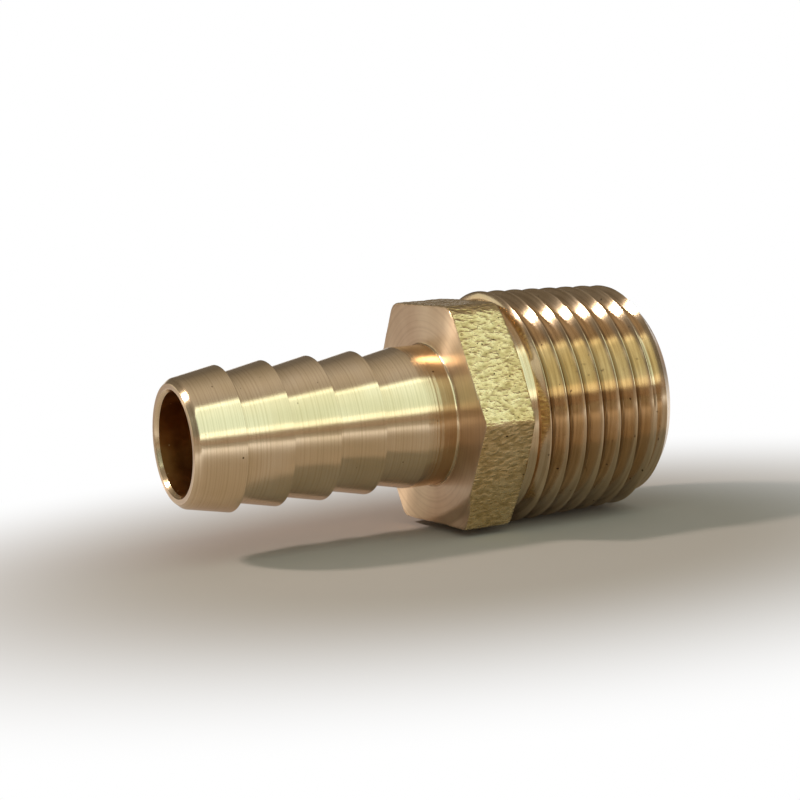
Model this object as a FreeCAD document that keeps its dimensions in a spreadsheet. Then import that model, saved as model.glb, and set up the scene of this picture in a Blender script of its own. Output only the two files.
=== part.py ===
import FreeCAD, Part
import os
import Sketcher

# Hose barb tail: one piece of brass with a barbed tail for a hose, a hexagon for a spanner
# and a taper pipe thread, turned from a forged blank and bored right through.
# The axis lies along X with the nose at -X, and one flat of the hexagon faces down.
# The origin is on the axis, in the plane of the hexagon's front face, which faces the hose.

NODE_NAME = "barb_tail_body"
# Cubic millimetres that every feature must add or take away to count as made
LEAST_CHANGE = 0.001

# Driving dimensions in millimetres, apart from counts, ratios and angles
DIMENSIONS = (
    ("nose_cone_length", "4.35", "nose to the top of the first barb"),
    ("nose_diameter", "11.1", "end of the nose, before its edge is broken"),
    ("nose_edge_bevel", "0.35", "bevel that breaks the nose's outer edge"),
    ("barb_count", "4", "barbs along the tail"),
    ("barb_pitch", "4.28", "from one barb to the next"),
    ("barb_diameter", "12.8", "over the top of a barb"),
    ("barb_root_diameter", "11.1", "at the foot of a barb"),
    ("barb_back_length", "0.2", "back of a barb, from its top down to its foot"),
    ("neck_length", "2.73", "last barb's slope to the hexagon"),
    ("neck_diameter", "12.7", "plain neck beside the hexagon"),
    ("across_flats", "20", "hexagon, flat to flat"),
    ("hexagon_length", "5.15", "hexagon, face to face at the middle"),
    ("front_chamfer", "0.2", "how far the front chamfer cuts the corners, along the radius"),
    ("front_chamfer_angle", "30", "front chamfer, from the face, in degrees"),
    ("rear_cone_angle", "11.6", "slope of the hexagon's rear from the collar out, in degrees"),
    ("collar_diameter", "19.7", "plain collar between the hexagon and the thread"),
    ("collar_length", "0.93", "collar, along the axis"),
    ("thread_length", "14.3", "threaded end, from the collar"),
    ("thread_diameter", "20.955", "over the crests, at the gauge plane"),
    ("gauge_length", "8.16", "gauge plane, from the small end"),
    ("thread_taper", "16", "length over which the diameter grows by one"),
    ("thread_pitch", "1.814", "from one crest to the next"),
    ("thread_depth", "1.162", "crest to root, along the radius"),
    ("thread_end_chamfer", "1.45", "bevel at the small end of the thread"),
    ("bore_diameter", "9", "hole right through"),
    ("nose_mouth_chamfer", "0.2", "bevel of the bore at the nose"),
    ("thread_mouth_chamfer", "0.5", "bevel of the bore at the threaded end"),
)

# Places along the axis, measured from the front face of the hexagon
TAIL_LENGTH = "(Sizes.nose_cone_length + Sizes.barb_count * Sizes.barb_pitch + Sizes.neck_length)"
NOSE_END = f"(-{TAIL_LENGTH})"
FIRST_TOP = f"({NOSE_END} + Sizes.nose_cone_length)"
FIRST_FOOT = f"({FIRST_TOP} + Sizes.barb_back_length)"
SECOND_TOP = f"({FIRST_TOP} + Sizes.barb_pitch)"
LAST_FOOT = f"(-Sizes.neck_length - Sizes.barb_pitch + Sizes.barb_back_length)"
THREAD_START = "(Sizes.hexagon_length + Sizes.collar_length)"
THREAD_END = f"({THREAD_START} + Sizes.thread_length)"
CHAMFER_START = f"({THREAD_END} - Sizes.thread_end_chamfer)"

# Radii of the turned shape
NOSE_RADIUS = "Sizes.nose_diameter / 2"
TOP_RADIUS = "Sizes.barb_diameter / 2"
FOOT_RADIUS = "Sizes.barb_root_diameter / 2"
NECK_RADIUS = "Sizes.neck_diameter / 2"
CORNER_RADIUS = "(Sizes.across_flats / sqrt(3))"
COLLAR_RADIUS = "Sizes.collar_diameter / 2"
BORE_RADIUS = "Sizes.bore_diameter / 2"
NOSE_WALL = f"({NOSE_RADIUS} - {BORE_RADIUS})"


def crest_radius(place):
    """Radius of the tapered thread over its crests, at a place along the axis."""
    from_gauge = f"({THREAD_END} - Sizes.gauge_length - {place})"
    return f"(Sizes.thread_diameter / 2 + {from_gauge} / (2 * Sizes.thread_taper))"


# Form of the thread: a V whose crest and root are flats, each a sixth of the pitch wide
# The cutter stands a tenth of the depth over the crests
ROOT_HALF_WIDTH = "(Sizes.thread_pitch / 12)"
CUTTER_HEIGHT = "(Sizes.thread_depth * 1.1)"
CUTTER_HALF_WIDTH = "(Sizes.thread_pitch * (1 / 12 + 1.1 / 3))"
# The cut starts over the collar, which fills its root again, and runs off the small end
CUT_START = f"({THREAD_START} - Sizes.thread_pitch * 0.3)"
CUT_LENGTH = f"({THREAD_END} - {CUT_START} + Sizes.thread_pitch * 0.5)"

document = FreeCAD.newDocument("hose_barb_tail")
sizes = document.addObject("Spreadsheet::Sheet", "Sizes")
for row, (alias, value, meaning) in enumerate(DIMENSIONS, start=1):
    sizes.set(f"A{row}", meaning)
    sizes.set(f"B{row}", value)
    sizes.setAlias(f"B{row}", alias)
document.recompute()

body = document.addObject("PartDesign::Body", NODE_NAME)
body.Label = NODE_NAME
body.Placement = FreeCAD.Placement()


def origin_part(role):
    """The plane or axis of the body's own origin that has this role."""
    return next(part for part in body.Origin.OriginFeatures if part.Role == role)


def new_sketch(name, plane_role):
    """An empty sketch on one of the body's own planes."""
    sketch = body.newObject("Sketcher::SketchObject", name)
    sketch.AttachmentSupport = [(origin_part(plane_role), "")]
    sketch.MapMode = "FlatFace"
    return sketch


def hold_point(sketch, geometry, position, name, across, up):
    """Fixes a point by two named distances from the sketch's origin."""
    for kind, label, size in (("DistanceX", "across", across), ("DistanceY", "up", up)):
        value = float(sketch.evalExpression(size))
        index = sketch.addConstraint(Sketcher.Constraint(kind, -1, 1, geometry, position, value))
        sketch.renameConstraint(index, f"{name}_{label}")
        sketch.setExpression(f"Constraints.{name}_{label}", size)


def draw_outline(sketch, corners):
    """Draws a closed outline of straight lines through named corners."""
    points = [
        FreeCAD.Vector(float(sketch.evalExpression(across)), float(sketch.evalExpression(up)), 0)
        for _, across, up in corners
    ]
    first_line = sketch.GeometryCount
    for start, end in zip(points, points[1:] + points[:1]):
        sketch.addGeometry(Part.LineSegment(start, end), False)
    for line in range(len(corners)):
        following = (line + 1) % len(corners)
        sketch.addConstraint(
            Sketcher.Constraint("Coincident", first_line + line, 2, first_line + following, 1)
        )
    for line, (name, across, up) in enumerate(corners):
        hold_point(sketch, first_line + line, 1, name, across, up)


def draw_circle(sketch, name, radius):
    """Draws a circle round the sketch's origin with a named radius."""
    value = float(sketch.evalExpression(radius))
    circle = sketch.addGeometry(Part.Circle(FreeCAD.Vector(), FreeCAD.Vector(0, 0, 1), value), False)
    sketch.addConstraint(Sketcher.Constraint("Coincident", circle, 3, -1, 1))
    index = sketch.addConstraint(Sketcher.Constraint("Radius", circle, value))
    sketch.renameConstraint(index, name)
    sketch.setExpression(f"Constraints.{name}", radius)


def new_feature(kind, name, profile=None):
    """A new feature of the body, made from a sketch where it has one."""
    feature = body.newObject(kind, name)
    if profile is not None:
        feature.Profile = profile
        profile.Visibility = False
    return feature


def removes_material(feature, before):
    """Rebuilds the document and checks that the last cut took something away."""
    document.recompute()
    if before.Volume - feature.Shape.Volume < LEAST_CHANGE:
        raise RuntimeError(f"{feature.Name} cuts nothing")


def adds_material(feature, before):
    """Rebuilds the document and checks that the last feature added something."""
    document.recompute()
    if feature.Shape.Volume - before.Volume < LEAST_CHANGE:
        raise RuntimeError(f"{feature.Name} adds nothing")


def edges_round(feature, place, radius):
    """Names of the circular edges at a place along the axis that have this radius."""
    near = 0.01
    wanted_place = float(body.evalExpression(place))
    wanted_radius = float(body.evalExpression(radius))
    return [
        f"Edge{number}"
        for number, edge in enumerate(feature.Shape.Edges, start=1)
        if isinstance(edge.Curve, Part.Circle)
        and abs(edge.Curve.Center.x - wanted_place) < near
        and abs(edge.Curve.Radius - wanted_radius) < near
    ]


# Turned blank: nose, tail, neck carried on under the hexagon, and the tapered end
blank_outline = new_sketch("blank_outline", "XZ_Plane")
draw_outline(
    blank_outline,
    (
        ("nose_axis", NOSE_END, "0"),
        ("nose_edge", NOSE_END, NOSE_RADIUS),
        ("first_top", FIRST_TOP, TOP_RADIUS),
        ("last_foot", LAST_FOOT, TOP_RADIUS),
        ("neck_start", LAST_FOOT, NECK_RADIUS),
        ("neck_end", THREAD_START, NECK_RADIUS),
        ("thread_start", THREAD_START, crest_radius(THREAD_START)),
        ("chamfer_start", CHAMFER_START, crest_radius(CHAMFER_START)),
        ("chamfer_end", THREAD_END, f"{crest_radius(CHAMFER_START)} - Sizes.thread_end_chamfer"),
        ("end_axis", THREAD_END, "0"),
    ),
)
turned_blank = new_feature("PartDesign::Revolution", "turned_blank", blank_outline)
turned_blank.ReferenceAxis = (blank_outline, ["H_Axis"])
turned_blank.Angle = 360
document.recompute()

# Barbs: one V groove with a steep back and a long slope, repeated along the tail
barb_slope = f"(({TOP_RADIUS} - {FOOT_RADIUS}) / (Sizes.barb_pitch - Sizes.barb_back_length))"
back_slope = f"(({TOP_RADIUS} - {FOOT_RADIUS}) / Sizes.barb_back_length)"
cutter_rise = f"(({TOP_RADIUS} - {FOOT_RADIUS}) / 4)"
groove_outline = new_sketch("barb_groove_outline", "XZ_Plane")
draw_outline(
    groove_outline,
    (
        ("over_top", f"{FIRST_TOP} - {cutter_rise} / {back_slope}", f"{TOP_RADIUS} + {cutter_rise}"),
        ("foot", FIRST_FOOT, FOOT_RADIUS),
        ("over_next", f"{SECOND_TOP} + {cutter_rise} / {barb_slope}", f"{TOP_RADIUS} + {cutter_rise}"),
    ),
)
barb_groove = new_feature("PartDesign::Groove", "barb_groove", groove_outline)
barb_groove.ReferenceAxis = (groove_outline, ["H_Axis"])
barb_groove.Angle = 360
removes_material(barb_groove, turned_blank.Shape)

barbs = new_feature("PartDesign::LinearPattern", "barbs")
barbs.Originals = [barb_groove]
barbs.Direction = (origin_part("X_Axis"), [""])
barbs.setExpression("Length", "Sizes.barb_pitch * (Sizes.barb_count - 1)")
barbs.setExpression("Occurrences", "Sizes.barb_count")
body.Tip = barbs
removes_material(barbs, barb_groove.Shape)

# Taper pipe thread: a V cut along a tapered right-hand helix, from the collar off the end
root_radius = f"({crest_radius(CUT_START)} - Sizes.thread_depth)"
thread_outline = new_sketch("thread_outline", "XZ_Plane")
draw_outline(
    thread_outline,
    (
        ("root_left", f"{CUT_START} - {ROOT_HALF_WIDTH}", root_radius),
        ("root_right", f"{CUT_START} + {ROOT_HALF_WIDTH}", root_radius),
        ("over_right", f"{CUT_START} + {CUTTER_HALF_WIDTH}", f"{root_radius} + {CUTTER_HEIGHT}"),
        ("over_left", f"{CUT_START} - {CUTTER_HALF_WIDTH}", f"{root_radius} + {CUTTER_HEIGHT}"),
    ),
)
thread = new_feature("PartDesign::SubtractiveHelix", "thread", thread_outline)
thread.ReferenceAxis = (thread_outline, ["H_Axis"])
thread.Mode = "pitch-height-angle"
thread.LeftHanded = False
thread.setExpression("Pitch", "Sizes.thread_pitch")
thread.setExpression("Height", CUT_LENGTH)
thread.setExpression("Angle", "-atan(1 / (2 * Sizes.thread_taper)) / 1 deg")
removes_material(thread, barbs.Shape)

# Hexagon: its corners are bevelled a little in front and fall away to the collar behind
flats_outline = new_sketch("flats_outline", "YZ_Plane")
draw_outline(
    flats_outline,
    tuple(
        (
            f"corner_{corner}",
            f"{CORNER_RADIUS} * cos({60 * corner} deg)",
            f"{CORNER_RADIUS} * sin({60 * corner} deg)",
        )
        for corner in range(6)
    ),
)
hexagon = new_feature("PartDesign::Pad", "hexagon", flats_outline)
hexagon.setExpression("Length", "Sizes.hexagon_length")
adds_material(hexagon, thread.Shape)

over_corner = f"({CORNER_RADIUS} * 1.02)"
face_radius = f"({CORNER_RADIUS} - Sizes.front_chamfer)"
front_slope = "tan(Sizes.front_chamfer_angle * 1 deg)"
front_outline = new_sketch("front_outline", "XZ_Plane")
draw_outline(
    front_outline,
    (
        ("face_edge", "0", face_radius),
        ("over_corner", f"({over_corner} - {face_radius}) * {front_slope}", over_corner),
        ("over_face", "0", over_corner),
    ),
)
front_bevel = new_feature("PartDesign::Groove", "front_bevel", front_outline)
front_bevel.ReferenceAxis = (front_outline, ["H_Axis"])
front_bevel.Angle = 360
removes_material(front_bevel, hexagon.Shape)

rear_slope = "tan(Sizes.rear_cone_angle * 1 deg)"
rear_fall = f"({over_corner} - {COLLAR_RADIUS}) * {rear_slope}"
rear_outline = new_sketch("rear_outline", "XZ_Plane")
draw_outline(
    rear_outline,
    (
        ("collar_foot", "Sizes.hexagon_length", COLLAR_RADIUS),
        ("over_collar", "Sizes.hexagon_length", over_corner),
        ("over_corner", f"Sizes.hexagon_length - {rear_fall}", over_corner),
    ),
)
rear_cone = new_feature("PartDesign::Groove", "rear_cone", rear_outline)
rear_cone.ReferenceAxis = (rear_outline, ["H_Axis"])
rear_cone.Angle = 360
removes_material(rear_cone, front_bevel.Shape)

# Collar: plain ring that closes the first groove of the thread
collar_outline = new_sketch("collar_outline", "YZ_Plane")
draw_circle(collar_outline, "collar_radius", COLLAR_RADIUS)
collar = new_feature("PartDesign::Pad", "collar", collar_outline)
collar.setExpression("Length", THREAD_START)
adds_material(collar, rear_cone.Shape)

# Bore: straight through from the nose to the threaded end
bore_outline = new_sketch("bore_outline", "YZ_Plane")
draw_circle(bore_outline, "bore_radius", BORE_RADIUS)
bore = new_feature("PartDesign::Pocket", "bore", bore_outline)
bore.Type = "ThroughAll"
bore.Midplane = True
removes_material(bore, collar.Shape)

# Edges: bevels on the nose's outer edge and at both mouths of the bore
# The nose keeps at least a quarter of its wall as a flat rim between its two bevels
nose_bevel = new_feature("PartDesign::Chamfer", "nose_bevel")
nose_bevel.Base = (bore, edges_round(bore, NOSE_END, NOSE_RADIUS))
nose_bevel.setExpression("Size", f"min(Sizes.nose_edge_bevel; {NOSE_WALL} / 2)")
removes_material(nose_bevel, bore.Shape)

nose_mouth = new_feature("PartDesign::Chamfer", "nose_mouth")
nose_mouth.Base = (nose_bevel, edges_round(nose_bevel, NOSE_END, BORE_RADIUS))
nose_mouth.setExpression("Size", f"min(Sizes.nose_mouth_chamfer; {NOSE_WALL} / 4)")
removes_material(nose_mouth, nose_bevel.Shape)

thread_mouth = new_feature("PartDesign::Chamfer", "thread_mouth")
thread_mouth.Base = (nose_mouth, edges_round(nose_mouth, THREAD_END, BORE_RADIUS))
thread_mouth.setExpression("Size", "Sizes.thread_mouth_chamfer")
removes_material(thread_mouth, nose_mouth.Shape)

body.Tip = thread_mouth
document.recompute()

# Nothing may be left failed before the solid is written
for item in document.Objects:
    if "Invalid" in item.State or "Error" in item.State:
        raise RuntimeError(f"{item.Name} did not rebuild: {item.State}")
if body.Shape.isNull() or not body.Shape.isValid() or len(body.Shape.Solids) != 1:
    raise RuntimeError(f"{body.Label} is not one valid solid")

os.makedirs("parts", exist_ok=True)
body.Shape.exportStep(f"parts/{body.Label}.step")
print(body.Label, "volume in cubic millimetres", round(body.Shape.Volume, 1))
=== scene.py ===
import math

import bmesh
import bpy
from mathutils import Matrix, Vector, noise


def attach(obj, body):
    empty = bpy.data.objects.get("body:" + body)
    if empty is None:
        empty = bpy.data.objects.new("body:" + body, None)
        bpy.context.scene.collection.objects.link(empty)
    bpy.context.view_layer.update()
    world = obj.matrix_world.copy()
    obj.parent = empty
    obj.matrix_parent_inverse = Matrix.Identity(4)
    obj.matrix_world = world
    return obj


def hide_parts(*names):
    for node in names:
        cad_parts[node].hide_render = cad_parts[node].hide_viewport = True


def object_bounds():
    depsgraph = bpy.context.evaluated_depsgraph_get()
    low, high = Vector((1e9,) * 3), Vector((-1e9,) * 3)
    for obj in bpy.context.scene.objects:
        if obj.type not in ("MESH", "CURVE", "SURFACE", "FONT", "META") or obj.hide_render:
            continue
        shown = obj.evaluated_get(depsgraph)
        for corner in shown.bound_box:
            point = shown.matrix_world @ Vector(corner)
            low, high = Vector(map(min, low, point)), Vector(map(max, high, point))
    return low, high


# Hose barb tail: one piece of brass that joins a hose to a pipe thread.
# The axis lies along X with the nose at -X; the frame's origin is on the axis, in the
# hexagon's front face. Sizes of the fitting are in millimetres, those of the studio in metres.

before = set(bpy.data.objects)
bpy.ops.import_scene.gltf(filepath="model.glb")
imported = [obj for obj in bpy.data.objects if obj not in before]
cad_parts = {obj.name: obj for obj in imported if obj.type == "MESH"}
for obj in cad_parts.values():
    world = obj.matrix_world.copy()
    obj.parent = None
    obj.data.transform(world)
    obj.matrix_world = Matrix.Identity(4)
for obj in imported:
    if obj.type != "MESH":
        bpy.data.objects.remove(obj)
cad_low, cad_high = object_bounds()

# Camera
# The photograph is a close, low three-quarter view from the nose's side, taken with a
# long lens. The camera stands in the fitting's own frame, a little above its axis.
MM = 0.001
CAMERA_PLACE = Vector((-80.28, -160.97, 21.98)) * MM
CAMERA_FORWARD = Vector((0.4321, 0.8947, -0.1134))
CAMERA_UP = Vector((0.1020, 0.0764, 0.9918))
CAMERA_LENS = 90.3
CAMERA_SENSOR = 36

camera = bpy.data.objects.new("camera", bpy.data.cameras.new("camera"))
bpy.context.scene.collection.objects.link(camera)
camera.data.lens = CAMERA_LENS
camera.data.sensor_width = CAMERA_SENSOR
camera.data.clip_start = 1 * MM
side = CAMERA_FORWARD.cross(CAMERA_UP).normalized()
upright = side.cross(CAMERA_FORWARD).normalized()
camera.matrix_world = Matrix.Translation(CAMERA_PLACE) @ Matrix(
    (side, upright, -CAMERA_FORWARD.normalized())
).transposed().to_4x4()
bpy.context.scene.camera = camera

# Barbed tail
# The hose end is turned from the blank: a nose, four barbs whose long slopes let the hose
# slide on and whose steep backs hold it, and a plain neck that meets the hexagon in a fillet.
NOSE_END = cad_low.x / MM
NOSE_RADIUS = 5.55
NOSE_BEVEL = 0.35
NOSE_BEVEL_LENGTH = 0.5
MOUTH_RADIUS = 4.75
MOUTH_DEPTH = 0.35
BORE_RADIUS = 4.5
FIRST_BARB = 4.35
BARB_PITCH = 4.28
BARB_RADIUS = 6.4
BARB_FOOT_RADIUS = 5.55
BARB_BACK = 0.2
BARB_ROUNDINGS = (0.06, 0.03, 0.03, 0.03)
FOOT_ROUNDING = 0.05
NECK_RADIUS = 6.35
NECK_FILLET = 0.25
FACE_START = NECK_RADIUS + 1.2
AROUND = 192
FINER = 3
FINISHES = ("turned_brass", "faced_brass", "forged_brass", "threaded_brass", "drilled_brass")

points = []
faces = []
face_finishes = []


def ring(place_at, radius_at):
    """Adds a ring of points round the axis; both sizes are functions of the angle."""
    first = len(points)
    for step in range(AROUND):
        angle = math.tau * step / AROUND
        radius = radius_at(angle)
        points.append((place_at(angle), radius * math.cos(angle), radius * math.sin(angle)))
    return range(first, first + AROUND)


def round_ring(place, radius):
    """Adds a plain ring."""
    return ring(lambda angle: place, lambda angle: radius)


def skin(before, after, finish):
    """Closes the strip between two rings, one of which may be FINER than the other."""
    added = []
    if len(before) == len(after):
        for step in range(len(before)):
            near = (step + 1) % len(before)
            added.append((before[step], before[near], after[near], after[step]))
    elif len(before) * FINER == len(after):
        for step in range(len(before)):
            near = (step + 1) % len(before)
            a, b, c, d = (after[(step * FINER + more) % len(after)] for more in range(4))
            added.append((before[step], before[near], c, b))
            added.append((before[step], b, a))
            added.append((before[near], d, c))
    else:
        for step in range(len(after)):
            near = (step + 1) % len(after)
            a, b, c, d = (before[(step * FINER + more) % len(before)] for more in range(4))
            added.append((b, c, after[near], after[step]))
            added.append((a, b, after[step]))
            added.append((c, d, after[near]))
    faces.extend(added)
    face_finishes.extend([FINISHES.index(finish)] * len(added))


def rounded(corners, steps=4):
    """Walks an outline of (place, radius, rounding) and turns each rounded corner to an arc."""
    line = []
    for number, (place, radius, rounding) in enumerate(corners):
        corner = Vector((place, radius))
        if rounding == 0:
            line.append(corner)
            continue
        back = (Vector(corners[number - 1][:2]) - corner).normalized()
        on = (Vector(corners[number + 1][:2]) - corner).normalized()
        half = back.angle(on) / 2
        reach = rounding / math.tan(half)
        centre = corner + (back + on).normalized() * (rounding / math.sin(half))
        start = corner + back * reach - centre
        end = corner + on * reach - centre
        for step in range(steps + 1):
            line.append(centre + start.slerp(end, step / steps) * rounding)
    return line


def supported(line):
    """Adds a point close to each end of every long straight, so that it shades straight."""
    close = 0.04
    closer = [line[0]]
    for start, end in zip(line, line[1:]):
        if (end - start).length > close * 5:
            step = (end - start).normalized() * close
            closer += [start + step, end - step]
        closer.append(end)
    return closer


# Corners of the tail's outline, each as (place, radius, rounding)
nose_slope = (BARB_RADIUS - NOSE_RADIUS) / FIRST_BARB
tail = [
    (NOSE_END + MOUTH_DEPTH, BORE_RADIUS, 0),
    (NOSE_END + 0.14, MOUTH_RADIUS - 0.1, 0.05),
    (NOSE_END, MOUTH_RADIUS, 0.04),
    (NOSE_END, NOSE_RADIUS - NOSE_BEVEL, 0.12),
    (NOSE_END + NOSE_BEVEL_LENGTH, NOSE_RADIUS + NOSE_BEVEL_LENGTH * nose_slope, 0.5),
]
for barb, rounding in enumerate(BARB_ROUNDINGS):
    top = NOSE_END + FIRST_BARB + barb * BARB_PITCH
    tail.append((top, BARB_RADIUS, rounding))
    tail.append((top + BARB_BACK, BARB_FOOT_RADIUS, FOOT_ROUNDING))
neck_slope = (BARB_RADIUS - BARB_FOOT_RADIUS) / (BARB_PITCH - BARB_BACK)
neck_start = top + BARB_BACK + (NECK_RADIUS - BARB_FOOT_RADIUS) / neck_slope
tail += [
    (neck_start, NECK_RADIUS, 0.3),
    (0, NECK_RADIUS, NECK_FILLET),
    (0, FACE_START, 0),
]
outline = supported(rounded(tail))
first_ring = round_ring(*outline[0])
last_ring = first_ring
for place, radius in outline[1:]:
    next_ring = round_ring(place, radius)
    on_an_end = place < NOSE_END + 0.01 or place > -0.01
    skin(last_ring, next_ring, "faced_brass" if on_an_end else "turned_brass")
    last_ring = next_ring


def linear(hex_colour):
    """Turns an sRGB hex colour to the linear one that a shader takes."""
    shares = [int(hex_colour[place : place + 2], 16) / 255 for place in (1, 3, 5)]
    return [
        share / 12.92 if share <= 0.04045 else ((share + 0.055) / 1.055) ** 2.4
        for share in shares
    ] + [1.0]


def add_node(tree, kind, inputs=None, stops=(), **settings):
    """Adds a shader node with its settings, links, values, and colour stops if it has any."""
    node = tree.nodes.new(kind)
    for name, value in settings.items():
        setattr(node, name, value)
    for name, value in (inputs or {}).items():
        if isinstance(value, bpy.types.NodeSocket):
            tree.links.new(value, node.inputs[name])
        else:
            node.inputs[name].default_value = value
    for number, (share, colour) in enumerate(stops):
        if number == len(node.color_ramp.elements):
            node.color_ramp.elements.new(1.0)
        node.color_ramp.elements[number].position = share
        node.color_ramp.elements[number].color = linear(colour)
    return node


brasses = {}


def bare_brass(finish, roughness):
    """Brass with no marks on it yet; keeps it by its finish, returns its node tree and shader."""
    brasses[finish] = bpy.data.materials.new(finish)
    brasses[finish].use_nodes = True
    shader = brasses[finish].node_tree.nodes["Principled BSDF"]
    shader.inputs["Metallic"].default_value = 1.0
    shader.inputs["Roughness"].default_value = roughness
    return brasses[finish].node_tree, shader


def in_millimetres(tree, across=1.0):
    """Point of the fitting in millimetres, with its place along the axis scaled by across."""
    spot = add_node(tree, "ShaderNodeTexCoord")
    scaled = add_node(
        tree,
        "ShaderNodeMapping",
        {"Vector": spot.outputs["Object"], "Scale": (across / MM, 1 / MM, 1 / MM)},
    )
    return scaled.outputs["Vector"]


def place_along(tree):
    """Place along the axis in millimetres."""
    split = add_node(tree, "ShaderNodeSeparateXYZ", {"Vector": in_millimetres(tree)})
    return split.outputs["X"]


def brushed_round(tree, shader, stretch):
    """Stretches the shine across the tool marks, which run round the axis."""
    shader.inputs["Anisotropic"].default_value = stretch
    shader.inputs["Anisotropic Rotation"].default_value = 0.25
    round_axis = add_node(tree, "ShaderNodeTangent", direction_type="RADIAL", axis="X")
    tree.links.new(round_axis.outputs["Tangent"], shader.inputs["Tangent"])


# Turned brass: bright, ringed by the tool and open in a few pits. A real feed of a tenth of a
# millimetre is too fine to show, so the rings lie 0.16 apart; the bands are the tool's drift.
# Against the hexagon the tool chattered, and there the rings are deeper.
RING_SPACING = 0.16
BAND_SPACING = 1.4
CLOUD_SPACING = 5.0
PIT_SPACING = 0.32
CHATTER_SPACING = 0.4
RING_DEPTH = 0.001
BAND_DEPTH = 0.0015
CHATTER_DEPTH = 0.03
CHATTER_FROM = -4.0
CHATTER_FULL = -2.2

tree, shader = bare_brass("turned_brass", 0.2)
brushed_round(tree, shader, 0.75)
rings = add_node(
    tree,
    "ShaderNodeTexNoise",
    {"W": place_along(tree), "Scale": 1 / RING_SPACING, "Detail": 1.0},
    noise_dimensions="1D",
).outputs["Fac"]
bands = add_node(
    tree,
    "ShaderNodeTexNoise",
    {"W": place_along(tree), "Scale": 1 / BAND_SPACING, "Detail": 3.0},
    noise_dimensions="1D",
).outputs["Fac"]
clouds = add_node(
    tree,
    "ShaderNodeTexNoise",
    {"Vector": in_millimetres(tree), "Scale": 1 / CLOUD_SPACING, "Detail": 2.0},
).outputs["Fac"]
pits = add_node(
    tree,
    "ShaderNodeTexNoise",
    {"Vector": in_millimetres(tree), "Scale": 1 / PIT_SPACING, "Detail": 0.0},
).outputs["Fac"]
clear_of_pits = add_node(
    tree, "ShaderNodeMapRange", {"Value": pits, "From Min": 0.1, "From Max": 0.14}
).outputs["Result"]
colour = add_node(
    tree,
    "ShaderNodeValToRGB",
    {"Fac": clouds},
    stops=((0.35, "#E2C8A2"), (0.5, "#E8CEAA"), (0.65, "#EDD5B4")),
).outputs["Color"]
ring_shade = add_node(
    tree,
    "ShaderNodeValToRGB",
    {"Fac": rings},
    stops=((0.3, "#F2F0EC"), (0.5, "#FCFBFA"), (0.7, "#FFFFFF")),
).outputs["Color"]
pit_shade = add_node(
    tree,
    "ShaderNodeValToRGB",
    {"Fac": clear_of_pits},
    stops=((0.0, "#5A4028"), (1.0, "#FFFFFF")),
).outputs["Color"]
for shade in (ring_shade, pit_shade):
    colour = add_node(
        tree,
        "ShaderNodeMix",
        {"Factor": 1.0, "A": colour, "B": shade},
        data_type="RGBA",
        blend_type="MULTIPLY",
    ).outputs["Result"]
tree.links.new(colour, shader.inputs["Base Color"])
dullness = add_node(
    tree,
    "ShaderNodeMapRange",
    {"Value": bands, "From Min": 0.3, "From Max": 0.7, "To Min": 0.19, "To Max": 0.22},
)
tree.links.new(dullness.outputs["Result"], shader.inputs["Roughness"])
chatter = add_node(
    tree,
    "ShaderNodeTexNoise",
    {"W": place_along(tree), "Scale": 1 / CHATTER_SPACING, "Detail": 2.0},
    noise_dimensions="1D",
)
beside_hexagon = add_node(
    tree,
    "ShaderNodeMapRange",
    {"Value": place_along(tree), "From Min": CHATTER_FROM, "From Max": CHATTER_FULL},
)
chatter = add_node(
    tree,
    "ShaderNodeMath",
    {0: chatter.outputs["Fac"], 1: beside_hexagon.outputs["Result"]},
    operation="MULTIPLY",
).outputs["Value"]
normal = add_node(tree, "ShaderNodeBump", {"Height": bands, "Distance": BAND_DEPTH * MM})
for height, depth in ((rings, RING_DEPTH), (chatter, CHATTER_DEPTH)):
    normal = add_node(
        tree,
        "ShaderNodeBump",
        {"Height": height, "Distance": depth * MM, "Normal": normal.outputs["Normal"]},
    )
tree.links.new(normal.outputs["Normal"], shader.inputs["Normal"])

# Hexagon
# The spanner flats keep the skin of the forged blank, dimpled and a little uneven. Only the
# front face is turned, and at one corner the blank was too small for the tool to clean up.
APOTHEM = 10.0
HEX_LENGTH = 5.15
CORNER_ROUNDINGS = (0.9, 1.8, 2.2, 0.7, 0.8, 1.2)
EDGE_BREAK = 0.16
EDGE_DEPTH = 0.03
WORN_EDGE = 0.06
REAR_SLOPE = math.tan(math.radians(11.6))
COLLAR_RADIUS = 9.85
FLAT_AROUND = AROUND * FINER
FLAT_ROWS = 46
FACE_ROWS = 18
SIXTH = math.tau / 6
UNCLEAN_ANGLE = math.radians(252)
UNCLEAN_WIDTH = math.radians(30)
UNCLEAN_RADIUS = 9.1
UNCLEAN_SLOPE = 0.35
UNCLEAN_DEPTH = 0.35
FORGED_DEPTH = 0.04
FORGED_STRETCH = 0.8
# Dips, dimples and grain of the forged skin, each as (marks to the millimetre, depth, slant)
FORGED_MARKS = ((0.45, 0.03, 0.0), (2.6, 0.04, 0.6), (5.5, 0.012, 0.0))


def hexagon_radius(angle):
    """Distance from the axis to the hexagon's side, with its worn corners."""
    corner = round(angle / SIXTH)
    rounding = CORNER_ROUNDINGS[corner % 6]
    turn = angle - corner * SIXTH
    flat_turn = SIXTH / 2 - abs(turn)
    along = APOTHEM * math.tan(flat_turn)
    centre = (APOTHEM - rounding) / math.cos(SIXTH / 2)
    if along <= centre * math.sin(SIXTH / 2):
        return APOTHEM / math.cos(flat_turn)
    return centre * math.cos(turn) + math.sqrt(rounding**2 - (centre * math.sin(turn)) ** 2)


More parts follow.
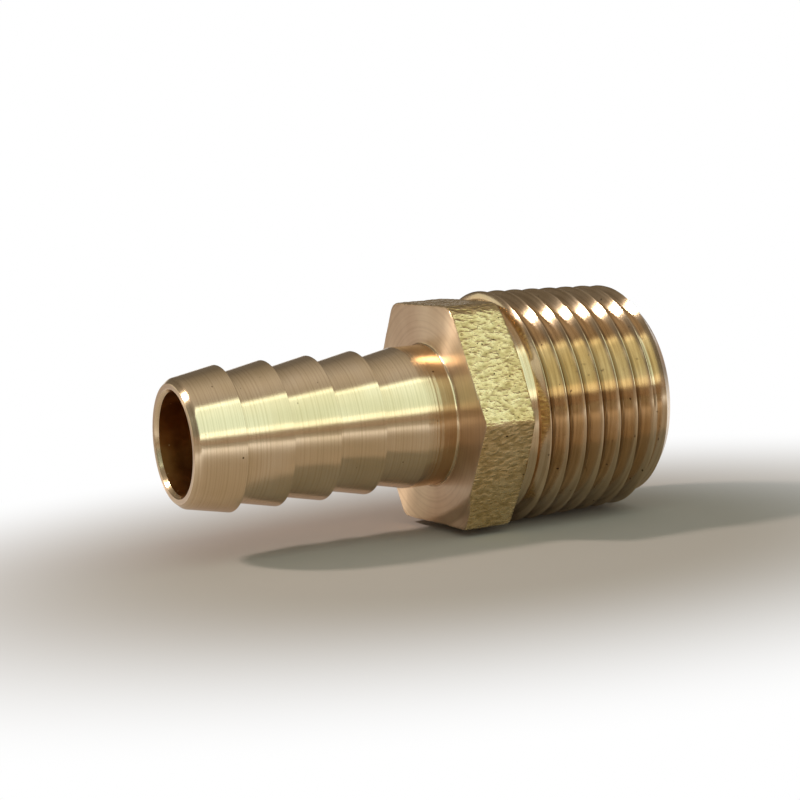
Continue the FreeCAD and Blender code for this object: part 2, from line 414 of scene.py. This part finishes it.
def forged_depth(place, across, up):
    """Depth of the forged skin at a point of the flats."""
    spot = Vector((place * FORGED_STRETCH, across, up))
    depth = FORGED_DEPTH
    for marks, mark_depth, slant in FORGED_MARKS:
        slanted = Vector((spot.x + slant * spot.z, spot.y, spot.z))
        depth += mark_depth * noise.noise(slanted * marks)
    return max(0.0, depth)


def face_place(angle, radius):
    """Place of the front face along the axis, sunk where the tool missed it at one corner."""
    away = (angle - UNCLEAN_ANGLE) / UNCLEAN_WIDTH
    missed = max(0.0, radius - (UNCLEAN_RADIUS + away**2))
    return min(UNCLEAN_DEPTH, missed * UNCLEAN_SLOPE)


def face_radius(angle, share):
    """Radius of the front face at a share of the way from the neck to the face's edge."""
    return FACE_START + (hexagon_radius(angle) - EDGE_BREAK - FACE_START) * share


for row in range(1, FACE_ROWS + 1):
    share = row / FACE_ROWS
    next_ring = ring(
        lambda angle: face_place(angle, face_radius(angle, share)),
        lambda angle: face_radius(angle, share),
    )
    skin(last_ring, next_ring, "faced_brass")
    last_ring = next_ring

for row in range(FLAT_ROWS + 1):
    share = row / FLAT_ROWS
    first = len(points)
    for step in range(FLAT_AROUND):
        angle = math.tau * step / FLAT_AROUND
        outer = hexagon_radius(angle)
        front = face_place(angle, outer) + EDGE_DEPTH
        rear = HEX_LENGTH - (outer - COLLAR_RADIUS) * REAR_SLOPE - EDGE_DEPTH
        place = front + (rear - front) * share
        from_edge = min(place - front, rear - place)
        worn = WORN_EDGE * math.exp(-from_edge / WORN_EDGE)
        forged = forged_depth(place, outer * math.cos(angle), outer * math.sin(angle))
        radius = outer - worn - forged
        points.append((place, radius * math.cos(angle), radius * math.sin(angle)))
    next_ring = range(first, len(points))
    skin(last_ring, next_ring, "faced_brass" if row == 0 else "forged_brass")
    last_ring = next_ring


def distance_out(tree):
    """Distance from the axis in millimetres."""
    flattened = in_millimetres(tree, across=0.0)
    distance = add_node(tree, "ShaderNodeVectorMath", {0: flattened}, operation="LENGTH")
    return distance.outputs["Value"]


# Faced brass: the hexagon's front and both ends are turned square to the axis, so that the
# rings run round the bore, 0.3 apart here to show. The fresh cut is coppery and silky.
FACE_RING_SPACING = 0.3
FACE_BAND_SPACING = 1.6
FACE_CLOUD_SPACING = 4.0
FACE_RING_DEPTH = 0.001

tree, shader = bare_brass("faced_brass", 0.34)
brushed_round(tree, shader, 0.92)
rings = add_node(
    tree,
    "ShaderNodeTexNoise",
    {"W": distance_out(tree), "Scale": 1 / FACE_RING_SPACING, "Detail": 1.0},
    noise_dimensions="1D",
).outputs["Fac"]
bands = add_node(
    tree,
    "ShaderNodeTexNoise",
    {"W": distance_out(tree), "Scale": 1 / FACE_BAND_SPACING, "Detail": 2.0},
    noise_dimensions="1D",
).outputs["Fac"]
clouds = add_node(
    tree,
    "ShaderNodeTexNoise",
    {"Vector": in_millimetres(tree), "Scale": 1 / FACE_CLOUD_SPACING, "Detail": 3.0},
).outputs["Fac"]
colour = add_node(
    tree,
    "ShaderNodeValToRGB",
    {"Fac": clouds},
    stops=((0.35, "#D2B494"), (0.5, "#DABE9E"), (0.65, "#E2C8A8")),
).outputs["Color"]
ring_shade = add_node(
    tree,
    "ShaderNodeValToRGB",
    {"Fac": rings},
    stops=((0.3, "#F4F1EF"), (0.5, "#FCFBFA"), (0.7, "#FFFFFF")),
).outputs["Color"]
colour = add_node(
    tree,
    "ShaderNodeMix",
    {"Factor": 1.0, "A": colour, "B": ring_shade},
    data_type="RGBA",
    blend_type="MULTIPLY",
).outputs["Result"]
tree.links.new(colour, shader.inputs["Base Color"])
dullness = add_node(
    tree,
    "ShaderNodeMapRange",
    {"Value": bands, "From Min": 0.3, "From Max": 0.7, "To Min": 0.32, "To Max": 0.36},
)
tree.links.new(dullness.outputs["Result"], shader.inputs["Roughness"])
normal = add_node(tree, "ShaderNodeBump", {"Height": rings, "Distance": FACE_RING_DEPTH * MM})
tree.links.new(normal.outputs["Normal"], shader.inputs["Normal"])

# Forged brass: the flats keep the hammered skin of the blank, pale and sparkling, with a
# slant to its dimples, which lie about 0.4 apart, and dark specks of scale.
DIMPLE_SPACING = 0.4
DIMPLE_SLANT = math.radians(35)
DIMPLE_STRETCH = (0.6, 1.0, 1.3)
GRAIN_SPACING = 0.24
SPECK_SPACING = 0.28
FORGED_CLOUD_SPACING = 3.0
DIMPLE_DEPTH = 0.18
GRAIN_DEPTH = 0.008

tree, shader = bare_brass("forged_brass", 0.3)
spot = in_millimetres(tree)
slanted = add_node(
    tree,
    "ShaderNodeMapping",
    {"Vector": spot, "Rotation": (0.0, DIMPLE_SLANT, 0.0), "Scale": DIMPLE_STRETCH},
).outputs["Vector"]
dimples = add_node(
    tree,
    "ShaderNodeTexNoise",
    {"Vector": slanted, "Scale": 1 / DIMPLE_SPACING, "Detail": 2.0},
).outputs["Fac"]
skin_grain = add_node(
    tree,
    "ShaderNodeTexNoise",
    {"Vector": slanted, "Scale": 1 / GRAIN_SPACING, "Detail": 1.0},
).outputs["Fac"]
clouds = add_node(
    tree,
    "ShaderNodeTexNoise",
    {"Vector": spot, "Scale": 1 / FORGED_CLOUD_SPACING, "Detail": 3.0},
).outputs["Fac"]
specks = add_node(
    tree,
    "ShaderNodeTexNoise",
    {"Vector": spot, "Scale": 1 / SPECK_SPACING, "Detail": 0.0},
).outputs["Fac"]
clear_of_specks = add_node(
    tree, "ShaderNodeMapRange", {"Value": specks, "From Min": 0.15, "From Max": 0.19}
).outputs["Result"]
colour = add_node(
    tree,
    "ShaderNodeValToRGB",
    {"Fac": clouds},
    stops=((0.35, "#E0C290"), (0.5, "#E6CA9A"), (0.65, "#ECD2A4")),
).outputs["Color"]
dimple_shade = add_node(
    tree,
    "ShaderNodeValToRGB",
    {"Fac": dimples},
    stops=((0.3, "#CFC8B4"), (0.5, "#F4F1E8"), (0.62, "#FFFFFF")),
).outputs["Color"]
speck_shade = add_node(
    tree,
    "ShaderNodeValToRGB",
    {"Fac": clear_of_specks},
    stops=((0.0, "#4A3A20"), (1.0, "#FFFFFF")),
).outputs["Color"]
for shade in (dimple_shade, speck_shade):
    colour = add_node(
        tree,
        "ShaderNodeMix",
        {"Factor": 1.0, "A": colour, "B": shade},
        data_type="RGBA",
        blend_type="MULTIPLY",
    ).outputs["Result"]
tree.links.new(colour, shader.inputs["Base Color"])
dullness = add_node(
    tree,
    "ShaderNodeMapRange",
    {"Value": dimples, "From Min": 0.3, "From Max": 0.7, "To Min": 0.34, "To Max": 0.22},
)
tree.links.new(dullness.outputs["Result"], shader.inputs["Roughness"])
normal = add_node(tree, "ShaderNodeBump", {"Height": dimples, "Distance": DIMPLE_DEPTH * MM})
normal = add_node(
    tree,
    "ShaderNodeBump",
    {"Height": skin_grain, "Distance": GRAIN_DEPTH * MM, "Normal": normal.outputs["Normal"]},
)
tree.links.new(normal.outputs["Normal"], shader.inputs["Normal"])

# Collar and pipe thread
# Behind the hexagon a plain collar is turned, and beyond it the taper thread is cut: right
# hand, fourteen to the inch, sharp enough that each crest carries a thin bright line.
COLLAR_END = 6.08
THREAD_END = cad_high.x / MM
GAUGE_LENGTH = 8.16
GAUGE_RADIUS = 20.95 / 2
TAPER = 1 / 32
PITCH = 1.814
DEPTH = 1.162
END_CHAMFER = 1.45
CREST_PLACE = 6.347
TOP_OF_TURN = 0.25

next_ring = round_ring(HEX_LENGTH, COLLAR_RADIUS + 0.05)
skin(last_ring, next_ring, "forged_brass")
last_ring = next_ring
for place, radius in rounded(
    [
        (HEX_LENGTH, COLLAR_RADIUS + 0.05, 0),
        (HEX_LENGTH, COLLAR_RADIUS, 0.04),
        (COLLAR_END, COLLAR_RADIUS, 0.05),
        (COLLAR_END, COLLAR_RADIUS - 0.2, 0),
    ]
)[1:-1]:
    next_ring = round_ring(place, radius)
    skin(last_ring, next_ring, "turned_brass")
    last_ring = next_ring

# Outline of half a turn, as (share of the pitch from the crest, share of the depth)
HALF_TURN = [
    (0.0, 1.0), (0.01, 0.997), (0.02, 0.985), (0.03, 0.965), (0.045, 0.928),
    (0.37, 0.12), (0.39, 0.07), (0.42, 0.025), (0.45, 0.005), (0.48, 0.0),
]
turn_places = [-0.5] + [-share for share, _ in reversed(HALF_TURN)] + [
    share for share, _ in HALF_TURN[1:]
]


def thread_height(share):
    """Height of the thread's outline over its root at a share of the pitch from the crest."""
    share = abs((share + 0.5) % 1.0 - 0.5)
    for (start, high), (end, low) in zip(HALF_TURN, HALF_TURN[1:] + [(0.5, 0.0)]):
        if share <= end:
            return high + (low - high) * (share - start) / (end - start)
    return 0.0


def thread_radius(place, angle):
    """Radius of the threaded end at a place along the axis and an angle round it."""
    crest = GAUGE_RADIUS + (THREAD_END - GAUGE_LENGTH - place) * TAPER
    turns = (place - CREST_PLACE) / PITCH - (angle / math.tau - TOP_OF_TURN)
    radius = crest - DEPTH * (1 - thread_height(turns))
    end_crest = GAUGE_RADIUS + (END_CHAMFER - GAUGE_LENGTH) * TAPER
    return min(radius, end_crest + (THREAD_END - END_CHAMFER - place))


turn_count = math.ceil((THREAD_END - COLLAR_END) / PITCH) + 3
columns = []
for step in range(AROUND):
    angle = math.tau * step / AROUND
    column = []
    for turn in range(-2, turn_count):
        for share in turn_places:
            place = CREST_PLACE + PITCH * (turn + share + angle / math.tau - TOP_OF_TURN)
            place = min(max(place, COLLAR_END), THREAD_END)
            radius = thread_radius(place, angle)
            column.append(len(points))
            points.append((place, radius * math.cos(angle), radius * math.sin(angle)))
    columns.append(column)
skin(last_ring, [column[0] for column in columns], "threaded_brass")
rows = len(columns[0])
for step, column in enumerate(columns):
    near = columns[(step + 1) % AROUND]
    shift = len(turn_places) if step == AROUND - 1 else 0
    for row in range(rows - 1):
        a = min(row + shift, rows - 1)
        b = min(row + 1 + shift, rows - 1)
        faces.append((column[row], near[a], near[b], column[row + 1]))
        face_finishes.append(FINISHES.index("threaded_brass"))
last_ring = [column[-1] for column in columns]

# Threaded brass: the cutter leaves fine lines along the flanks, drawn 0.2 apart so that they
# show, and a few torn spots; a thin line of painted shade darkens the roots.
LINE_SPACING = 0.2
TORN_SPACING = 0.4
THREAD_CLOUD_SPACING = 3.2
LINE_DEPTH = 0.0015
ROOT_SHADE_FROM = 1.02
ROOT_SHADE_FULL = 1.15
ROOT_SHADE_END = 18.7
ROOT_SHADE_END_FULL = 18.3

tree, shader = bare_brass("threaded_brass", 0.22)
brushed_round(tree, shader, 0.75)
tool_lines = add_node(
    tree,
    "ShaderNodeTexNoise",
    {"W": place_along(tree), "Scale": 1 / LINE_SPACING, "Detail": 1.0},
    noise_dimensions="1D",
).outputs["Fac"]
clouds = add_node(
    tree,
    "ShaderNodeTexNoise",
    {
        "Vector": in_millimetres(tree, across=0.5),
        "Scale": 1 / THREAD_CLOUD_SPACING,
        "Detail": 3.0,
    },
).outputs["Fac"]
torn = add_node(
    tree,
    "ShaderNodeTexNoise",
    {"Vector": in_millimetres(tree, across=1.5), "Scale": 1 / TORN_SPACING, "Detail": 0.0},
).outputs["Fac"]
clear_of_tears = add_node(
    tree, "ShaderNodeMapRange", {"Value": torn, "From Min": 0.14, "From Max": 0.18}
).outputs["Result"]
# Painted shade: the colour darkens deep in the thread's roots and fades out towards the threaded
# end.
crest_radius = add_node(
    tree,
    "ShaderNodeMath",
    {
        0: place_along(tree),
        1: -TAPER,
        2: GAUGE_RADIUS + (THREAD_END - GAUGE_LENGTH) * TAPER,
    },
    operation="MULTIPLY_ADD",
)
under_crest = add_node(
    tree,
    "ShaderNodeMath",
    {0: crest_radius.outputs["Value"], 1: distance_out(tree)},
    operation="SUBTRACT",
)
in_root = add_node(
    tree,
    "ShaderNodeMapRange",
    {"Value": under_crest.outputs["Value"], "From Min": ROOT_SHADE_FROM, "From Max": ROOT_SHADE_FULL},
)
before_end = add_node(
    tree,
    "ShaderNodeMapRange",
    {"Value": place_along(tree), "From Min": ROOT_SHADE_END, "From Max": ROOT_SHADE_END_FULL},
)
painted_root_shade = add_node(
    tree,
    "ShaderNodeMath",
    {0: in_root.outputs["Result"], 1: before_end.outputs["Result"]},
    operation="MULTIPLY",
).outputs["Value"]
colour = add_node(
    tree,
    "ShaderNodeValToRGB",
    {"Fac": clouds},
    stops=((0.35, "#DFC4A0"), (0.5, "#E4CBAA"), (0.65, "#EAD2B4")),
).outputs["Color"]
line_shade = add_node(
    tree,
    "ShaderNodeValToRGB",
    {"Fac": tool_lines},
    stops=((0.3, "#E6E2DC"), (0.5, "#F8F6F4"), (0.7, "#FFFFFF")),
).outputs["Color"]
torn_shade = add_node(
    tree,
    "ShaderNodeValToRGB",
    {"Fac": clear_of_tears},
    stops=((0.0, "#6A4A28"), (1.0, "#FFFFFF")),
).outputs["Color"]
# Colour of the painted shade in the thread's roots.
root_shade_colour = add_node(
    tree,
    "ShaderNodeValToRGB",
    {"Fac": painted_root_shade},
    stops=((0.0, "#FFFFFF"), (1.0, "#A08A6C")),
).outputs["Color"]
for shade in (line_shade, torn_shade, root_shade_colour):
    colour = add_node(
        tree,
        "ShaderNodeMix",
        {"Factor": 1.0, "A": colour, "B": shade},
        data_type="RGBA",
        blend_type="MULTIPLY",
    ).outputs["Result"]
tree.links.new(colour, shader.inputs["Base Color"])
dullness = add_node(
    tree,
    "ShaderNodeMapRange",
    {"Value": clouds, "From Min": 0.3, "From Max": 0.7, "To Min": 0.14, "To Max": 0.19},
)
tree.links.new(dullness.outputs["Result"], shader.inputs["Roughness"])
normal = add_node(tree, "ShaderNodeBump", {"Height": tool_lines, "Distance": LINE_DEPTH * MM})
tree.links.new(normal.outputs["Normal"], shader.inputs["Normal"])

# Bore
# The hole is drilled right through from the threaded end, where its mouth and the end face
# are turned, and left as the drill leaves it; inside, its wall is coloured a darker brown.
END_FACE_RADIUS = 8.7
END_MOUTH_RADIUS = 5.0
END_MOUTH_DEPTH = 0.5
BORE_ROWS = 10
TURNED_RINGS = 7

end_outline = rounded(
    [
        (THREAD_END, END_FACE_RADIUS, 0),
        (THREAD_END, END_MOUTH_RADIUS, 0.05),
        (THREAD_END - END_MOUTH_DEPTH, BORE_RADIUS, 0.05),
        (NOSE_END + MOUTH_DEPTH, BORE_RADIUS, 0),
    ]
)
for number, (place, radius) in enumerate(end_outline[:-1]):
    next_ring = round_ring(place, radius)
    skin(last_ring, next_ring, "faced_brass" if number < TURNED_RINGS else "drilled_brass")
    last_ring = next_ring
bore_start = end_outline[-2][0]
for row in range(1, BORE_ROWS):
    place = bore_start + (NOSE_END + MOUTH_DEPTH - bore_start) * row / BORE_ROWS
    next_ring = round_ring(place, BORE_RADIUS)
    skin(last_ring, next_ring, "drilled_brass")
    last_ring = next_ring
skin(last_ring, first_ring, "drilled_brass")

# Drilled brass: the wall of the bore is coloured a darker, blotchy brown than the outer brass,
# scored in rings about 0.6 apart by the drill, and specked with small bright chips.
SCORE_SPACING = 0.6
BLOTCH_SPACING = 2.4
CHIP_SPACING = 0.4
SCORE_DEPTH = 0.01

tree, shader = bare_brass("drilled_brass", 0.45)
scores = add_node(
    tree,
    "ShaderNodeTexNoise",
    {"W": place_along(tree), "Scale": 1 / SCORE_SPACING, "Detail": 3.0},
    noise_dimensions="1D",
).outputs["Fac"]
wall_blotches = add_node(
    tree,
    "ShaderNodeTexNoise",
    {"Vector": in_millimetres(tree), "Scale": 1 / BLOTCH_SPACING, "Detail": 3.0},
).outputs["Fac"]
chips = add_node(
    tree,
    "ShaderNodeTexNoise",
    {"Vector": in_millimetres(tree), "Scale": 1 / CHIP_SPACING, "Detail": 0.0},
).outputs["Fac"]
on_chip = add_node(
    tree, "ShaderNodeMapRange", {"Value": chips, "From Min": 0.8, "From Max": 0.84}
).outputs["Result"]
dark_wall_colour = add_node(
    tree,
    "ShaderNodeValToRGB",
    {"Fac": wall_blotches},
    stops=((0.35, "#8A5628"), (0.5, "#AA723A"), (0.65, "#BE884C")),
).outputs["Color"]
colour = add_node(
    tree,
    "ShaderNodeMix",
    {"Factor": on_chip, "A": dark_wall_colour, "B": linear("#E6C690")},
    data_type="RGBA",
).outputs["Result"]
tree.links.new(colour, shader.inputs["Base Color"])
normal = add_node(tree, "ShaderNodeBump", {"Height": scores, "Distance": SCORE_DEPTH * MM})
tree.links.new(normal.outputs["Normal"], shader.inputs["Normal"])

# The whole fitting
# Tail, hexagon, thread and bore are one piece of brass, so their surfaces are joined to one
# closed mesh with a finish for each way in which the piece was worked.
WELD = 0.0002
SHARP_EDGE = math.radians(35)

mesh = bpy.data.meshes.new("brass_tail")
mesh.from_pydata([tuple(value * MM for value in point) for point in points], [], faces)
for finish in FINISHES:
    mesh.materials.append(brasses[finish])
mesh.polygons.foreach_set("material_index", face_finishes)
welded = bmesh.new()
welded.from_mesh(mesh)
bmesh.ops.remove_doubles(welded, verts=welded.verts, dist=WELD * MM)
bmesh.ops.recalc_face_normals(welded, faces=welded.faces)
open_edges = sum(1 for edge in welded.edges if not edge.is_manifold)
print("brass_tail faces", len(welded.faces), "open edges", open_edges)
welded.to_mesh(mesh)
welded.free()
mesh.polygons.foreach_set("use_smooth", [True] * len(mesh.polygons))
mesh.set_sharp_from_angle(angle=SHARP_EDGE)
fitting = bpy.data.objects.new("brass_tail", mesh)
bpy.context.scene.collection.objects.link(fitting)
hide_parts("barb_tail_body")
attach(fitting, "root")

# Table
# The fitting lies on pale matt paper. Near it the paper is lit by the lamps and keeps its
# shadow; away from it the paper runs out to the white of the backdrop.
PAPER_SIZE = 3.0
PAPER_COLOUR = "#ADA29C"
POOL_CENTRE = (0.0, -0.008)
POOL_REACH = (0.075, 0.06)
POOL_EDGE = 0.3
BACKDROP_HEADING = (0.435, 0.9, 0.0)
BACKDROP_SIDE = 0.91
BACKDROP_FULL = 0.968
PAPER_FRONT = (-0.080, -0.161, 0.0)


def before_backdrop(tree, direction):
    """One for a direction towards the backdrop behind the fitting, none well off to a side."""
    level = add_node(
        tree, "ShaderNodeVectorMath", {0: direction, 1: (1.0, 1.0, 0.0)}, operation="MULTIPLY"
    )
    level = add_node(
        tree, "ShaderNodeVectorMath", {0: level.outputs["Vector"]}, operation="NORMALIZE"
    )
    facing = add_node(
        tree,
        "ShaderNodeVectorMath",
        {0: level.outputs["Vector"], 1: BACKDROP_HEADING},
        operation="DOT_PRODUCT",
    )
    return add_node(
        tree,
        "ShaderNodeMapRange",
        {
            "Value": facing.outputs["Value"],
            "From Min": BACKDROP_SIDE,
            "From Max": BACKDROP_FULL,
        },
        interpolation_type="SMOOTHSTEP",
    ).outputs["Result"]


def seen_directly(tree, direction):
    """One for camera rays, and for mirrored or let-through ones that head for the backdrop."""
    rays = add_node(tree, "ShaderNodeLightPath")
    passed_on = add_node(
        tree,
        "ShaderNodeMath",
        {0: rays.outputs["Is Glossy Ray"], 1: rays.outputs["Is Transmission Ray"]},
        operation="MAXIMUM",
    )
    passed_on = add_node(
        tree,
        "ShaderNodeMath",
        {0: passed_on.outputs["Value"], 1: before_backdrop(tree, direction)},
        operation="MULTIPLY",
    )
    return add_node(
        tree,
        "ShaderNodeMath",
        {0: passed_on.outputs["Value"], 1: rays.outputs["Is Camera Ray"]},
        operation="MAXIMUM",
    ).outputs["Value"]


table_mesh = bpy.data.meshes.new("table")
table_mesh.from_pydata(
    [
        (x * PAPER_SIZE, y * PAPER_SIZE, cad_low.z)
        for x, y in ((-1, -1), (1, -1), (1, 1), (-1, 1))
    ],
    [],
    [(0, 1, 2, 3)],
)
table = bpy.data.objects.new("table", table_mesh)
bpy.context.scene.collection.objects.link(table)
paper = bpy.data.materials.new("white_paper")
paper.use_nodes = True
tree = paper.node_tree
lit_paper = tree.nodes["Principled BSDF"]
lit_paper.inputs["Base Color"].default_value = linear(PAPER_COLOUR)
lit_paper.inputs["Roughness"].default_value = 0.9
lit_paper.inputs["Specular IOR Level"].default_value = 0.1
spot = add_node(tree, "ShaderNodeTexCoord")
from_pool = add_node(
    tree,
    "ShaderNodeMapping",
    {
        "Vector": spot.outputs["Object"],
        "Location": tuple(-at / reach for at, reach in zip(POOL_CENTRE, POOL_REACH)) + (0.0,),
        "Scale": tuple(1 / reach for reach in POOL_REACH) + (0.0,),
    },
)
distance = add_node(
    tree, "ShaderNodeVectorMath", {0: from_pool.outputs["Vector"]}, operation="LENGTH"
)
cleared = add_node(
    tree,
    "ShaderNodeMapRange",
    {"Value": distance.outputs["Value"], "From Min": POOL_EDGE, "From Max": 1.0},
    interpolation_type="SMOOTHSTEP",
)
from_front = add_node(
    tree,
    "ShaderNodeVectorMath",
    {0: spot.outputs["Object"], 1: PAPER_FRONT},
    operation="SUBTRACT",
)
share = add_node(
    tree,
    "ShaderNodeMath",
    {0: seen_directly(tree, from_front.outputs["Vector"]), 1: cleared.outputs["Result"]},
    operation="MULTIPLY",
)
white_paper = add_node(
    tree, "ShaderNodeEmission", {"Color": linear("#FFFFFF"), "Strength": 1.0}
)
paper_mix = add_node(
    tree,
    "ShaderNodeMixShader",
    {0: share.outputs["Value"], 1: lit_paper.outputs["BSDF"], 2: white_paper.outputs["Emission"]},
)
tree.links.new(paper_mix.outputs["Shader"], tree.nodes["Material Output"].inputs["Surface"])
table_mesh.materials.append(paper)

# Room
# A plain studio for the brass to mirror: a white backdrop low down behind the table, which
# the camera sees on every side, with a dim wall above it and a pale ceiling.
BACKDROP_TOP = 0.115
BACKDROP_FADE = 0.092

bpy.context.scene.view_settings.view_transform = "Standard"
world = bpy.data.worlds.new("studio")
bpy.context.scene.world = world
world.use_nodes = True
tree = world.node_tree
direction = add_node(tree, "ShaderNodeTexCoord").outputs["Generated"]
height = add_node(tree, "ShaderNodeSeparateXYZ", {"Vector": direction}).outputs["Z"]
room = add_node(
    tree,
    "ShaderNodeValToRGB",
    {"Fac": height},
    stops=(
        (0.00, "#AC9A88"),
        (0.12, "#9A8C7C"),
        (0.2, "#6E675E"),
        (0.60, "#767067"),
        (0.86, "#A09A90"),
        (0.95, "#B4B0A8"),
        (1.00, "#C4C0B8"),
    ),
).outputs["Color"]
low_down = add_node(
    tree,
    "ShaderNodeMapRange",
    {"Value": height, "From Min": BACKDROP_TOP, "From Max": BACKDROP_FADE},
)
rays = add_node(tree, "ShaderNodeLightPath")
behind = add_node(
    tree,
    "ShaderNodeMath",
    {0: before_backdrop(tree, direction), 1: rays.outputs["Is Camera Ray"]},
    operation="MAXIMUM",
)
behind = add_node(
    tree,
    "ShaderNodeMath",
    {0: low_down.outputs["Result"], 1: behind.outputs["Value"]},
    operation="MULTIPLY",
)
backdrop = add_node(
    tree,
    "ShaderNodeMix",
    {"Factor": behind.outputs["Value"], "A": room, "B": linear("#FFFFFF")},
    data_type="RGBA",
)
tree.links.new(backdrop.outputs["Result"], tree.nodes["Background"].inputs["Color"])

# Lamps
# A wide softbox over the camera draws the long bright band down the fitting, with a dimmer
# rim above and below it; one from the left and a small hard key give the glints.


def softbox(name, azimuth, elevation, distance, width, height, radiance, colour):
    """A soft rectangular lamp that faces the fitting: angles in degrees, brightness as seen."""
    lamp = bpy.data.lights.new(name, "AREA")
    lamp.shape = "RECTANGLE"
    lamp.size = width
    lamp.size_y = height
    lamp.energy = radiance * width * height * math.pi
    lamp.color = linear(colour)[:3]
    holder = bpy.data.objects.new(name, lamp)
    bpy.context.scene.collection.objects.link(holder)
    a, e = math.radians(azimuth), math.radians(elevation)
    away = Vector((math.sin(a) * math.cos(e), -math.cos(a) * math.cos(e), math.sin(e)))
    holder.location = away * distance
    holder.rotation_euler = away.to_track_quat("Z", "Y").to_euler()


softbox("front_softbox", 6, 38, 0.5, 1.25, 0.5, 1.05, "#DEFFF2")
softbox("front_softbox_top", 6, 63.5, 0.48, 1.25, 0.06, 0.75, "#F0FFF0")
softbox("front_softbox_foot", 6, 14.5, 0.48, 1.25, 0.08, 0.75, "#FFFFF2")
softbox("left_softbox", -122, 14, 0.5, 0.7, 0.18, 0.7, "#FAFFEC")
softbox("key", -116, 42, 0.5, 0.055, 0.055, 150.0, "#FFF4EA")
